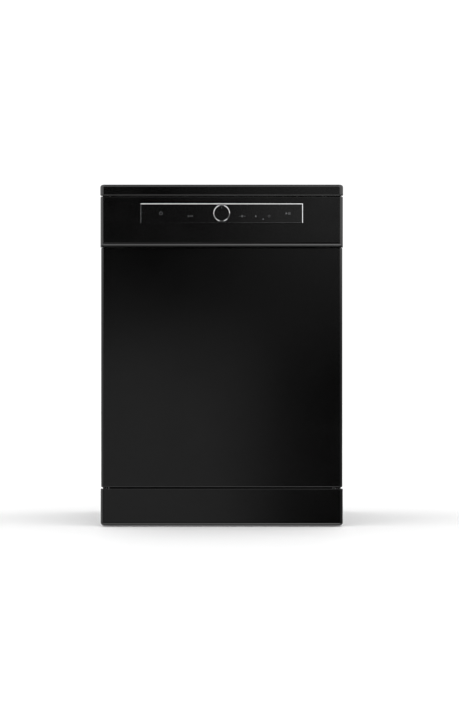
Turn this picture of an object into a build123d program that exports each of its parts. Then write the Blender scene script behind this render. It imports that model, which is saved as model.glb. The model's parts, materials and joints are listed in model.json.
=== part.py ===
"""A 600 mm dishwasher with its own worktop: cabinet, drop-down door, controls, tub, racks and wash system.

Millimetres. +X is right as seen from the front, +Y is towards the back, +Z is up.
The origin is on the floor, under the middle of the machine. The door opens towards -Y.
"""

import os
from math import cos, pi, sin

from build123d import *

# ---- Driving dimensions ------------------------------------------------------------------
overall_width = 600
overall_depth = 600
overall_height = 845
sheet = 1.0  # steel sheet of the cabinet, the door and the tub

# Stations along Y, from the front to the back
front_y = -overall_depth / 2  # front of the programme knob
rear_y = overall_depth / 2  # back of the worktop
worktop_front_y = -294
fascia_y = -290
plinth_y = -274
door_panel_y = -272
door_inner_y = -232  # back of the door's inner panel
tub_rim_y = -226
tub_back_y = 252
cabinet_back_y = 288

# Stations along Z
plinth_top_z = 94
door_bottom_z = 97
fascia_bottom_z = 690
fascia_top_z = 815
worktop_thickness = 28
worktop_bottom_z = overall_height - worktop_thickness
tub_floor_z = 150
tub_ceiling_z = 792

# Half-widths along X
plinth_half = overall_width / 2
worktop_half = overall_width / 2
side_half = 296.5
door_half = 299.0
fascia_half = 299.5
tub_half = 272.0

# The door turns about X through this point
hinge_y = -260
hinge_z = 122
hinge_pin_radius = 4.0

# Control panel
panel_strip_width = 400
panel_strip_height = 48.5
panel_strip_z = 773.5
bezel_width = 1.8
window_y = -291  # front of the dark strip
window_thickness = 3.0
knob_radius = 20.2
knob_shaft_radius = 3.0
key_gap = 0.2
key_cap = 2.0  # thickness; the millimetre behind it is the key's travel
key_flange = 4.0
keys = {  # name: (x, width, height)
    "key_power": (-150, 26, 26),
    "key_rapid": (-79, 32, 26),
    "key_options": (51, 26, 26),
    "key_auto": (84, 24, 26),
    "key_delay": (117, 26, 26),
    "key_start": (163, 28, 26),
}

# Wash system
arm_centre_y = 12
arm_radius = 212
arm_post_radius = 9.0
running_gap = 0.05
filter_cup_offset = 45
filter_cup_radius = 30.5
salt_cap_place = (-145, -108)

# Racks
wire_radius = 2.25
weld_gap = 0.05
rack_front_y = -198
rack_back_y = 212
lower_rack_half = 232
lower_rack_z = 188
lower_rack_top_z = 300
upper_rack_half = 232
upper_rack_z = 478
upper_rack_top_z = 604
wheel_radius = 17
wheel_width = 15
wheel_x = 252
wheel_ys = (-150, 150)
track_z = tub_floor_z


# ---- Helpers -----------------------------------------------------------------------------
def save(part, name):
    """Names a finished piece and writes it."""
    part.label = name
    export_step(part, f"parts/{name}.step")


def block(low, high, mode=Mode.ADD):
    """A box between two corners, in the part being built."""
    size = [b - a for a, b in zip(low, high)]
    middle = [(a + b) / 2 for a, b in zip(low, high)]
    with Locations(tuple(middle)):
        return Box(*size, mode=mode)


def round_edges(builder, radius):
    """The circular edges of one radius in the part being built."""
    circles = builder.edges().filter_by(GeomType.CIRCLE)
    return circles.filter_by(lambda edge: abs(edge.radius - radius) < 0.01)


def edges_ahead(face, y):
    """The edges of a face whose middle lies in front of y."""
    return face.edges().filter_by(lambda edge: edge.center().Y < y)


def facing_front(y):
    """A sketch plane at y that looks to the front: its X and Y are the machine's X and Z."""
    return Plane.XZ.offset(-y)


def across(x):
    """A sketch plane at x that looks to the right: its X and Y are the machine's Y and Z."""
    return Plane.YZ.offset(x)


def bent_wire(points, bend_radius, radius):
    """One round wire along a bent path."""
    with BuildPart(mode=Mode.PRIVATE) as wire:
        with BuildLine() as path:
            FilletPolyline(*points, radius=bend_radius)
        with BuildSketch(Plane(path.line @ 0, z_dir=path.line % 0)):
            Circle(radius)
        sweep()
    return wire.part


def straight_rod(start, end, radius):
    """One straight round rod."""
    a, b = Vector(*start), Vector(*end)
    with BuildPart(mode=Mode.PRIVATE) as rod:
        with BuildSketch(Plane(a, z_dir=b - a)):
            Circle(radius)
        extrude(amount=(b - a).length)
    return rod.part


def group(*pieces):
    """Separate solids kept side by side in one node."""
    return Compound([solid for piece in pieces for solid in piece.solids()])


os.makedirs("parts", exist_ok=True)

# ==== CABINET =============================================================================

# ---- Base tray, with the rear feet moulded on and bosses for the two front feet ----------
base_half = 293
base_bottom_z = 12
base_wall = 3
base_front_y = -220
base_top_z = 122
foot_places = {"foot_front_left": (-258, -185), "foot_front_right": (258, -185)}
foot_stem_radius = 5.0
rear_foot_places = ((-258, 255), (258, 255))
inlet_place = (-225, 62)  # x, z of the water inlet's spigot
drain_place = (-150, 62)
spigot_hole = 24

with BuildPart() as base_tray:
    block((-base_half, base_front_y, base_bottom_z), (base_half, cabinet_back_y - 3, base_top_z))
    fillet(base_tray.edges().filter_by(Axis.Z), 6)
    with BuildSketch(Plane.XY.offset(base_bottom_z + base_wall)):
        with Locations((0, (base_front_y + cabinet_back_y - 3) / 2)):
            RectangleRounded(
                2 * (base_half - base_wall),
                cabinet_back_y - 3 - base_front_y - 2 * base_wall,
                3.5,
            )
    extrude(amount=base_top_z, mode=Mode.SUBTRACT)
    with BuildSketch(Plane.XY.offset(base_bottom_z)):
        with Locations(*foot_places.values()):
            Circle(11)
    extrude(amount=44)
    with BuildSketch(Plane.XY.offset(base_bottom_z)):
        with Locations(*foot_places.values()):
            Circle(foot_stem_radius + running_gap)
    extrude(amount=44, mode=Mode.SUBTRACT)
    with BuildSketch() as rear_feet:
        with Locations(*rear_foot_places):
            Circle(18)
    extrude(amount=base_bottom_z + 1)
    with BuildSketch(facing_front(cabinet_back_y)):
        for x, z in (inlet_place, drain_place):
            with Locations((x, z)):
                Circle(spigot_hole)
    extrude(amount=12, mode=Mode.SUBTRACT)
    for sign in (-1, 1):
        low_x, high_x = sorted((sign * (base_half - base_wall - 14), sign * (base_half - base_wall)))
        block(
            (low_x, base_front_y - 1, 56),
            (high_x, base_front_y + base_wall + 1, 150),
            mode=Mode.SUBTRACT,
        )
save(base_tray.part, "base_tray")

# ---- Front feet: a threaded stem on a round pad ------------------------------------------
for name, (x, y) in foot_places.items():
    with BuildPart() as foot:
        with Locations((x, y, 0)):
            Cylinder(21, base_bottom_z - 4, align=(Align.CENTER, Align.CENTER, Align.MIN))
        with BuildSketch(Plane.XY.offset(base_bottom_z - 4)):
            with Locations((x, y)):
                RegularPolygon(12, 6)
        extrude(amount=4)
        chamfer(foot.edges().group_by(Axis.Z)[0], 1.5)
        with Locations((x, y, base_bottom_z)):
            Cylinder(foot_stem_radius, 62, align=(Align.CENTER, Align.CENTER, Align.MIN))
        chamfer(foot.edges().group_by(Axis.Z)[-1], 1)
    save(foot.part, name)

# ---- Plinth: a folded sheet with rounded ends --------------------------------------------
plinth_sheet = 1.2
plinth_bottom_z = 2
plinth_back_y = -224
plinth_panel_room_y = -236  # behind this the side panels stand inside the plinth's ends
side_bottom_z = 14
with BuildPart() as plinth:
    block((-plinth_half, plinth_y, plinth_bottom_z), (plinth_half, plinth_back_y, plinth_top_z))
    fillet(plinth.edges().filter_by(Axis.Z).group_by(Axis.Y)[0], 9.5)
    fillet(edges_ahead(plinth.faces().sort_by(Axis.Z)[0], plinth_back_y - 1), 9)
    fillet(edges_ahead(plinth.faces().sort_by(Axis.Z)[-1], plinth_back_y - 1), 1.5)
    with BuildSketch(Plane.XY.offset(plinth_bottom_z + plinth_sheet)):
        with BuildLine():
            inner_half = plinth_half - plinth_sheet - 4.6
            inner_front = plinth_y + plinth_sheet + 4.6
            FilletPolyline(
                (-inner_half, plinth_back_y + 1),
                (-inner_half, inner_front),
                (inner_half, inner_front),
                (inner_half, plinth_back_y + 1),
                radius=6,
            )
            Line((inner_half, plinth_back_y + 1), (-inner_half, plinth_back_y + 1))
        make_face()
    extrude(amount=plinth_top_z - plinth_bottom_z - 2 * plinth_sheet, mode=Mode.SUBTRACT)
    block(
        (-plinth_half + plinth_sheet, plinth_panel_room_y, side_bottom_z - 1),
        (plinth_half - plinth_sheet, plinth_back_y + 1, plinth_top_z - plinth_sheet),
        mode=Mode.SUBTRACT,
    )
    block(
        (-plinth_half + plinth_sheet, -248, plinth_top_z - 2 * plinth_sheet),
        (plinth_half - plinth_sheet, plinth_back_y + 1, plinth_top_z + 1),
        mode=Mode.SUBTRACT,
    )
    block(
        (-plinth_half + 20, plinth_y + 20, 0),
        (plinth_half - 20, plinth_back_y + 5, plinth_bottom_z + 2),
        mode=Mode.SUBTRACT,
    )
save(plinth.part, "plinth")

# ---- Side panels: sheets with a fold at the front, the back and the top ------------------
side_front_y = -231
side_notch_y = -225
side_notch_top_z = 132
side_fold = 16
front_fold = 11
for name, sign in (("side_panel_left", -1), ("side_panel_right", 1)):
    with BuildPart() as side_panel:
        outer, inner = sign * side_half, sign * (side_half - sheet)
        fold_x = sign * (side_half - side_fold)
        low_x, high_x = sorted((outer, inner))
        fold_low, fold_high = sorted((outer, fold_x))
        front_low, front_high = sorted((outer, sign * (side_half - front_fold)))
        block((low_x, side_front_y, side_bottom_z), (high_x, cabinet_back_y, worktop_bottom_z))
        block(
            (front_low, side_front_y, side_bottom_z),
            (front_high, side_front_y + sheet, worktop_bottom_z),
        )
        block(
            (fold_low, cabinet_back_y - sheet, base_top_z + 2),
            (fold_high, cabinet_back_y, worktop_bottom_z),
        )
        block(
            (fold_low, side_front_y, worktop_bottom_z - sheet),
            (fold_high, cabinet_back_y, worktop_bottom_z),
        )
        notch_low, notch_high = sorted((outer + sign, sign * (side_half - side_fold - 5)))
        block(
            (notch_low, side_front_y - 1, 0),
            (notch_high, side_notch_y, side_notch_top_z),
            mode=Mode.SUBTRACT,
        )
    save(side_panel.part, name)

# ---- Rear panel: a flat sheet with pressed ribs ------------------------------------------
with BuildPart() as rear_panel:
    rear_half = side_half - side_fold - 1
    block(
        (-rear_half, cabinet_back_y - 3, base_top_z + 2),
        (rear_half, cabinet_back_y - 3 + sheet, worktop_bottom_z - 2),
    )
    with BuildSketch(Plane.XZ.offset(-(cabinet_back_y - 3 + sheet))):
        with Locations(*[(0, z) for z in range(220, 760, 130)]):
            SlotOverall(2 * rear_half - 120, 26)
    extrude(amount=-2.5, taper=12)
save(rear_panel.part, "rear_panel")

# ---- Worktop: a board in a moulded surround ----------------------------------------------
surround_wall = 16
board_gap = 0.2
with BuildPart() as worktop_surround:
    with BuildSketch(Plane.XY.offset(worktop_bottom_z)):
        with Locations((0, (worktop_front_y + rear_y) / 2)):
            RectangleRounded(2 * worktop_half, rear_y - worktop_front_y, 12)
    extrude(amount=worktop_thickness)
    fillet(worktop_surround.faces().sort_by(Axis.Z)[-1].edges(), 7)
    fillet(worktop_surround.faces().sort_by(Axis.Z)[0].edges(), 3)
    with BuildSketch(Plane.XY.offset(worktop_bottom_z + 10)):
        with Locations((0, (worktop_front_y + rear_y) / 2)):
            RectangleRounded(
                2 * (worktop_half - surround_wall), rear_y - worktop_front_y - 2 * surround_wall, 6
            )
    extrude(amount=worktop_thickness, mode=Mode.SUBTRACT)
    with BuildSketch(Plane.XY.offset(worktop_bottom_z - 1)):
        with Locations((0, (worktop_front_y + rear_y) / 2)):
            RectangleRounded(
                2 * (worktop_half - surround_wall - 12),
                rear_y - worktop_front_y - 2 * (surround_wall + 12),
                6,
            )
    extrude(amount=20, mode=Mode.SUBTRACT)
save(worktop_surround.part, "worktop_surround")

with BuildPart() as worktop_board:
    with BuildSketch(Plane.XY.offset(worktop_bottom_z + 10)):
        with Locations((0, (worktop_front_y + rear_y) / 2)):
            RectangleRounded(
                2 * (worktop_half - surround_wall - board_gap),
                rear_y - worktop_front_y - 2 * (surround_wall + board_gap),
                5.8,
            )
    extrude(amount=worktop_thickness - 10 - 2 * board_gap)
save(worktop_board.part, "worktop_board")

# ---- Cabinet screws: four hold the side panels to the base, two hold the worktop ----------
with BuildPart() as cabinet_screws:
    for sign in (-1, 1):
        for y in (-190, 260):
            with BuildSketch(across(sign * side_half)):
                with Locations((y, 40)):
                    Circle(4.2)
            extrude(amount=sign * 1.2)
    for x in (-260, 260):
        with BuildSketch(facing_front(cabinet_back_y)):
            with Locations((x, 780)):
                Circle(4.2)
        extrude(amount=-1.6)
save(group(cabinet_screws.part), "cabinet_screws")

# ==== TUB =================================================================================

tub_corner = 26


def tub_outline(half, top, corner, bottom):
    """The tub's inverted U as a face: rounded at its two upper corners."""
    with BuildSketch(mode=Mode.PRIVATE) as outline:
        with BuildLine():
            FilletPolyline((-half, bottom), (-half, top), (half, top), (half, bottom), radius=corner)
            Line((half, bottom), (-half, bottom))
        make_face()
    return outline.sketch


# ---- Wrapper: sides and ceiling in one bent sheet, with a rim round the mouth -------------
rim_width = 17
with BuildPart() as tub_wrapper:
    with BuildSketch(facing_front(tub_rim_y)):
        add(tub_outline(tub_half + sheet, tub_ceiling_z + sheet, tub_corner + sheet, tub_floor_z))
    extrude(amount=-(tub_back_y - tub_rim_y))
    with BuildSketch(facing_front(tub_rim_y)):
        add(tub_outline(tub_half + rim_width, tub_ceiling_z + rim_width, tub_corner, tub_floor_z + 6))
    extrude(amount=-sheet)
    with BuildSketch(facing_front(tub_rim_y - 1)):
        add(tub_outline(tub_half, tub_ceiling_z, tub_corner, tub_floor_z - 1))
    extrude(amount=-(tub_back_y - tub_rim_y + 2), mode=Mode.SUBTRACT)
save(tub_wrapper.part, "tub_wrapper")

# ---- Rear wall, with a pressed panel ------------------------------------------------------
with BuildPart() as tub_rear_wall:
    with BuildSketch(facing_front(tub_back_y)):
        add(tub_outline(tub_half + sheet, tub_ceiling_z + sheet, tub_corner + sheet, tub_floor_z))
    extrude(amount=-sheet)
    with BuildSketch(facing_front(tub_back_y)):
        for x in (-145, 145):
            with Locations((x, 470)):
                RectangleRounded(180, 520, 40)
    extrude(amount=3, taper=30)
save(tub_rear_wall.part, "tub_rear_wall")

# ---- Floor: level tracks at the sides and a sloping dish down to the sump -----------------
dish_top = (446, 440)
dish_low = (330, 320)
dish_z = 131
sump_hole_radius = 86
with BuildPart() as tub_floor:
    block((-tub_half, tub_rim_y, tub_floor_z - sheet), (tub_half, tub_back_y, tub_floor_z))
    with BuildSketch(Plane.XY.offset(tub_floor_z)):
        with Locations((0, arm_centre_y)):
            RectangleRounded(*dish_top, 50)
    with BuildSketch(Plane.XY.offset(dish_z - sheet)):
        with Locations((0, arm_centre_y)):
            RectangleRounded(*dish_low, 36)
    loft()
    with BuildSketch(Plane.XY.offset(tub_floor_z + 0.5)):
        with Locations((0, arm_centre_y)):
            RectangleRounded(dish_top[0] - 2, dish_top[1] - 2, 49)
    with BuildSketch(Plane.XY.offset(dish_z)):
        with Locations((0, arm_centre_y)):
            RectangleRounded(dish_low[0] - 2, dish_low[1] - 2, 35)
    loft(mode=Mode.SUBTRACT)
    with BuildSketch(Plane.XY.offset(dish_z - 10)):
        with Locations((0, arm_centre_y)):
            Circle(sump_hole_radius)
    extrude(amount=20, mode=Mode.SUBTRACT)
    with BuildSketch(Plane.XY.offset(dish_z - 20)):
        with Locations(salt_cap_place):
            Circle(30)
    extrude(amount=60, mode=Mode.SUBTRACT)
save(tub_floor.part, "tub_floor")

# ---- Door seal round the tub's mouth ------------------------------------------------------
seal_front_y = -231.6
with BuildPart() as door_seal:
    with BuildSketch(facing_front(seal_front_y)):
        add(tub_outline(tub_half + 12, tub_ceiling_z + 12, tub_corner + 8, tub_floor_z + 10))
    extrude(amount=-(tub_rim_y - seal_front_y))
    fillet(door_seal.faces().sort_by(Axis.Y)[0].edges().filter_by(Axis.Z), 2)
    with BuildSketch(facing_front(seal_front_y - 1)):
        add(tub_outline(tub_half + 1, tub_ceiling_z + 1, tub_corner, tub_floor_z + 8))
    extrude(amount=-(tub_rim_y - seal_front_y + 2), mode=Mode.SUBTRACT)
save(door_seal.part, "door_seal")

# ---- Latch striker at the top of the tub's mouth ------------------------------------------
with BuildPart() as latch_striker:
    block((-16, -248, 805.5), (16, tub_rim_y, 808.5))
    block((-16, tub_rim_y - 2, 805.5), (16, tub_rim_y, 815))
    with BuildSketch(Plane.XY.offset(804)):
        with Locations((0, -240)):
            RectangleRounded(18, 7, 2)
    extrude(amount=6, mode=Mode.SUBTRACT)
save(latch_striker.part, "latch_striker")

# ==== WASH SYSTEM =========================================================================

# ---- Sump bowl under the floor's hole -----------------------------------------------------
sump_bottom_z = 62
with BuildPart() as sump:
    with BuildSketch(across(0)):
        with BuildLine():
            Polyline(
                (arm_centre_y, sump_bottom_z),
                (arm_centre_y + 62, sump_bottom_z),
                (arm_centre_y + 84, 79),
                (arm_centre_y + 84, dish_z - sheet - 3),
                (arm_centre_y + 100, dish_z - sheet - 3),
                (arm_centre_y + 100, dish_z - sheet),
                (arm_centre_y + 80, dish_z - sheet),
                (arm_centre_y + 80, 80),
                (arm_centre_y + 59, sump_bottom_z + 3),
                (arm_centre_y, sump_bottom_z + 3),
                close=True,
            )
        make_face()
    revolve(axis=Axis((0, arm_centre_y, 0), (0, 0, 1)))
save(sump.part, "sump")

# ---- Fine filter plate ---------------------------------------------------------------------
filter_z = 123
with BuildPart() as filter_plate:
    with BuildSketch(Plane.XY.offset(filter_z)):
        with Locations((0, arm_centre_y)):
            Circle(79.5)
        with Locations((0, arm_centre_y)):
            Circle(14.3, mode=Mode.SUBTRACT)
        with Locations((filter_cup_offset, arm_centre_y)):
            Circle(filter_cup_radius + 0.5, mode=Mode.SUBTRACT)
    extrude(amount=1.5)
    with BuildSketch(Plane.XY.offset(filter_z)):
        for ring_radius, count in ((26, 10), (40, 18), (54, 26), (68, 34)):
            for k in range(count):
                angle = 2 * pi * k / count
                x, y = ring_radius * cos(angle), ring_radius * sin(angle)
                if abs(complex(x - filter_cup_offset, y)) > filter_cup_radius + 6:
                    with Locations((x, y + arm_centre_y)):
                        Circle(1.8)
    extrude(amount=2, mode=Mode.SUBTRACT)
save(filter_plate.part, "filter_plate")

# ---- Filter cup: it turns in the plate and has a ribbed handle -----------------------------
with BuildPart() as filter_cup:
    with BuildSketch(Plane.XY.offset(84)):
        with Locations((filter_cup_offset, arm_centre_y)):
            Circle(filter_cup_radius)
    extrude(amount=44)
    with BuildSketch(Plane.XY.offset(filter_z - 3)):
        with Locations((filter_cup_offset, arm_centre_y)):
            Circle(filter_cup_radius - 2.5)
    extrude(amount=20, mode=Mode.SUBTRACT)
    with BuildSketch(Plane.XY.offset(filter_z - 4)):
        with Locations((filter_cup_offset, arm_centre_y)):
            RectangleRounded(44, 6, 2.5)
            Circle(9)
    extrude(amount=18)
save(filter_cup.part, "filter_cup")

# ---- Post that feeds and carries the lower spray arm ---------------------------------------
arm_z = 157
arm_thickness = 15
with BuildPart() as spray_arm_post:
    with Locations((0, arm_centre_y, sump_bottom_z + 3)):
        Cylinder(14, arm_z - 1 - sump_bottom_z - 3, align=(Align.CENTER, Align.CENTER, Align.MIN))
    with Locations((0, arm_centre_y, arm_z - 1)):
        Cylinder(arm_post_radius, arm_thickness + 3, align=(Align.CENTER, Align.CENTER, Align.MIN))
    with Locations((0, arm_centre_y, arm_z + arm_thickness + 1)):
        Cylinder(13, 4, align=(Align.CENTER, Align.CENTER, Align.MIN))
    fillet(spray_arm_post.edges().group_by(Axis.Z)[-1], 1.5)
save(spray_arm_post.part, "spray_arm_post")


def spray_arm(length, centre_z, thickness, bore_radius, centre_y):
    """A two-bladed hollow-looking arm with a hub, a bore and a row of jets on its upper side."""
    with BuildPart(mode=Mode.PRIVATE) as arm:
        with BuildSketch(Plane.XY.offset(centre_z - thickness / 2)):
            with Locations((0, centre_y)):
                Circle(30)
            for side in (-1, 1):
                with BuildLine():
                    Polyline(
                        (side * 10, centre_y - side * 26),
                        (side * length * 0.55, centre_y - side * 24),
                        (side * length * 0.96, centre_y - side * 10),
                        (side * length * 0.97, centre_y + side * 12),
                        (side * length * 0.55, centre_y + side * 12),
                        (side * 10, centre_y + side * 26),
                        close=True,
                    )
                make_face()
        extrude(amount=thickness)
        fillet(arm.edges().filter_by(Axis.Z), 8)
        fillet(arm.faces().sort_by(Axis.Z)[-1].edges(), thickness * 0.3)
        fillet(arm.faces().sort_by(Axis.Z)[0].edges(), thickness * 0.2)
        with BuildSketch(Plane.XY.offset(centre_z + thickness / 2)):
            for side in (-1, 1):
                for share in (0.3, 0.45, 0.6, 0.75, 0.89):
                    with Locations((side * length * share, centre_y - side * 6 * (1 - share))):
                        SlotOverall(9, 3.2, rotation=90 + 20 * side)
        extrude(amount=-2.5, mode=Mode.SUBTRACT)
        with BuildSketch(Plane.XY.offset(centre_z - thickness)):
            with Locations((0, centre_y)):
                Circle(bore_radius)
        extrude(amount=3 * thickness, mode=Mode.SUBTRACT)
    return arm.part


lower_spray_arm = spray_arm(
    arm_radius, arm_z + arm_thickness / 2, arm_thickness, arm_post_radius + running_gap, arm_centre_y
)
save(lower_spray_arm, "lower_spray_arm")

# ---- Feed pipe up the rear wall and along the ceiling, with a port for the upper rack ------
pipe_y = 238
pipe_radius = 9
upper_port_z = 466
ceiling_pipe_z = 779
spray_head_y = 0
with BuildPart() as spray_feed_pipe:
    with BuildLine() as pipe_path:
        FilletPolyline(
            (0, pipe_y, dish_z + 25),
            (0, pipe_y, ceiling_pipe_z),
            (0, spray_head_y, ceiling_pipe_z),
            radius=24,
        )
    with BuildSketch(Plane(pipe_path.line @ 0, z_dir=pipe_path.line % 0)):
        Circle(pipe_radius)
    sweep()
    with BuildSketch(facing_front(pipe_y)):
        with Locations((0, upper_port_z)):
            Circle(8)
    extrude(amount=13)
    block((-14, pipe_y - 9, dish_z + 19.5), (14, tub_back_y, dish_z + 45))
save(spray_feed_pipe.part, "spray_feed_pipe")

with BuildPart() as ceiling_sprayer:
    with Locations((0, spray_head_y, ceiling_pipe_z - pipe_radius - 14)):
        Cylinder(30, 8, align=(Align.CENTER, Align.CENTER, Align.MIN))
    chamfer(ceiling_sprayer.edges().group_by(Axis.Z)[-1], 5)
    with Locations((0, spray_head_y, ceiling_pipe_z - pipe_radius - 6)):
        Cylinder(8, 6, align=(Align.CENTER, Align.CENTER, Align.MIN))
    with BuildSketch(Plane.XY.offset(ceiling_pipe_z - pipe_radius - 14)):
        with Locations((0, spray_head_y)):
            with PolarLocations(18, 10):
                Circle(2)
    extrude(amount=3, mode=Mode.SUBTRACT)
save(ceiling_sprayer.part, "ceiling_sprayer")

# ---- Circulation pump with its heater housing -----------------------------------------------
with BuildPart() as circulation_pump:
    with BuildSketch(facing_front(30)):
        with Locations((150, 66)):
            Circle(44)
    extrude(amount=-46)
    fillet(circulation_pump.edges(), 5)
    with BuildSketch(facing_front(75)):
        with Locations((150, 66)):
            Circle(33)
    extrude(amount=-85)
    with BuildSketch(across(84)):
        with Locations((50, 84)):
            Circle(13)
    extrude(amount=35)
save(circulation_pump.part, "circulation_pump")

# ---- Water softener with a salt neck up through the tub's floor ----------------------------
salt_x, salt_y = salt_cap_place
salt_neck_radius = 29.5
with BuildPart() as water_softener:
    block((salt_x - 60, -180, 22), (salt_x + 45, 30, 118))
    fillet(water_softener.edges(), 8)
    with Locations((salt_x, salt_y, 110)):
        Cylinder(salt_neck_radius, 27, align=(Align.CENTER, Align.CENTER, Align.MIN))
    with Locations((salt_x, salt_y, 126)):
        Cylinder(24, 30, align=(Align.CENTER, Align.CENTER, Align.MIN), mode=Mode.SUBTRACT)
save(water_softener.part, "water_softener")

with BuildPart() as salt_cap:
    with Locations((salt_x, salt_y, 127)):
        Cylinder(24 - 0.5, 10.3, align=(Align.CENTER, Align.CENTER, Align.MIN))
    with Locations((salt_x, salt_y, 137.3)):
        Cylinder(34, 9, align=(Align.CENTER, Align.CENTER, Align.MIN))
    fillet(salt_cap.edges().group_by(Axis.Z)[-1], 3)
    with BuildSketch(Plane.XY.offset(137)):
        with Locations((salt_x, salt_y)):
            with PolarLocations(35, 12):
                Circle(3)
    extrude(amount=12, mode=Mode.SUBTRACT)
    with BuildSketch(Plane.XY.offset(146.3)):
        with Locations((salt_x, salt_y)):
            RectangleRounded(46, 8, 3)
    extrude(amount=4)
save(salt_cap.part, "salt_cap")

# ---- Inlet valve and drain outlet: spigots that stand out at the back ----------------------
inlet_radius = 13.2
drain_radius = 10.0
spigot_tip_y = rear_y - 1
with BuildPart() as inlet_valve:
    with BuildSketch(facing_front(cabinet_back_y - 60)):
        with Locations(inlet_place):
            RectangleRounded(46, 44, 5)
    extrude(amount=-46)
    with BuildSketch(facing_front(cabinet_back_y - 15)):
        with Locations(inlet_place):
            Circle(inlet_radius)
    extrude(amount=-(spigot_tip_y - cabinet_back_y + 15))
    with Locations((inlet_place[0], spigot_tip_y, inlet_place[1])):
        Cylinder(6, 18, rotation=(90, 0, 0), mode=Mode.SUBTRACT)
    with Locations((inlet_place[0], cabinet_back_y - 40, inlet_place[1] + 30)):
        Cylinder(15, 26)
save(inlet_valve.part, "inlet_valve")

with BuildPart() as drain_outlet:
    with BuildSketch(facing_front(cabinet_back_y - 26)):
        with Locations(drain_place):
            RectangleRounded(40, 40, 5)
    extrude(amount=-12)
    with BuildSketch(facing_front(cabinet_back_y - 15)):
        with Locations(drain_place):
            Circle(drain_radius)
    extrude(amount=-(spigot_tip_y - cabinet_back_y + 15))
    with Locations((drain_place[0], spigot_tip_y, drain_place[1])):
        Cylinder(7, 30, rotation=(90, 0, 0), mode=Mode.SUBTRACT)
save(drain_outlet.part, "drain_outlet")

# ==== DOOR ================================================================================

# ---- Outer panel: a folded steel pan -------------------------------------------------------
door_top_z = fascia_bottom_z - 1
pan_back_y = -234
with BuildPart() as door_outer_panel:
    block((-door_half, door_panel_y, door_bottom_z), (door_half, pan_back_y, door_top_z))
    fillet(door_outer_panel.edges().filter_by(Axis.Z).group_by(Axis.Y)[0], 9)
    fillet(edges_ahead(door_outer_panel.faces().sort_by(Axis.Z)[0], pan_back_y - 1), 3)
    fillet(edges_ahead(door_outer_panel.faces().sort_by(Axis.Z)[-1], pan_back_y - 1), 1.2)
    block(
        (-door_half + 8, door_panel_y + sheet, door_bottom_z + 7),
        (door_half - 8, pan_back_y + 1, door_top_z - 4),
        mode=Mode.SUBTRACT,
    )
    block(
        (-door_half + sheet, door_panel_y + 7.5, door_bottom_z + sheet),
        (door_half - sheet, pan_back_y + 1, door_top_z - sheet),
        mode=Mode.SUBTRACT,
    )
    block((-door_half - 1, hinge_y - 2, 0), (door_half + 1, 0, hinge_z), mode=Mode.SUBTRACT)
save(door_outer_panel.part, "door_outer_panel")

# ---- Inner panel: the steel lining, with a raised field that stands in the tub's mouth -----
inner_half = 294
inner_bottom_z = hinge_z + 3
inner_top_z = 811
field_half = 238
field_bottom_z = 168
field_top_z = 778
field_y = door_inner_y + 8
bracket_clear_x = 276
dispenser_low = (-90, 400)
dispenser_high = (80, 516)
dispenser_size = [high - low for low, high in zip(dispenser_low, dispenser_high)]
dispenser_middle = [(low + high) / 2 for low, high in zip(dispenser_low, dispenser_high)]
with BuildPart() as door_inner_panel:
    block((-inner_half, door_inner_y - sheet, inner_bottom_z), (inner_half, door_inner_y, inner_top_z))
    with BuildSketch(facing_front(door_inner_y - sheet)):
        with Locations((0, (field_bottom_z + field_top_z) / 2)):
            RectangleRounded(2 * field_half, field_top_z - field_bottom_z, 30)
    extrude(amount=-(field_y - door_inner_y + sheet), taper=20)
    with BuildSketch(facing_front(door_inner_y - 2 * sheet)):
        with Locations((0, (field_bottom_z + field_top_z) / 2)):
            RectangleRounded(2 * (field_half - 1.5), field_top_z - field_bottom_z - 3, 28)
    extrude(amount=-(field_y - door_inner_y + sheet), taper=20, mode=Mode.SUBTRACT)
    block(
        (-bracket_clear_x, door_panel_y + 3, inner_bottom_z),
        (bracket_clear_x, door_inner_y, inner_bottom_z + sheet),
    )
    for sign in (-1, 1):
        low_x, high_x = sorted((sign * bracket_clear_x, sign * (inner_half + 1)))
        block((low_x, door_panel_y, 100), (high_x, 0, hinge_z + 44), mode=Mode.SUBTRACT)
    with BuildSketch(facing_front(door_panel_y)):
        with Locations(tuple(dispenser_middle)):
            RectangleRounded(*dispenser_size, 8)
    extrude(amount=-80, mode=Mode.SUBTRACT)
    block((-19, door_inner_y - 4, 802), (19, door_inner_y + 4, inner_top_z + 1), mode=Mode.SUBTRACT)
save(door_inner_panel.part, "door_inner_panel")

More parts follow.
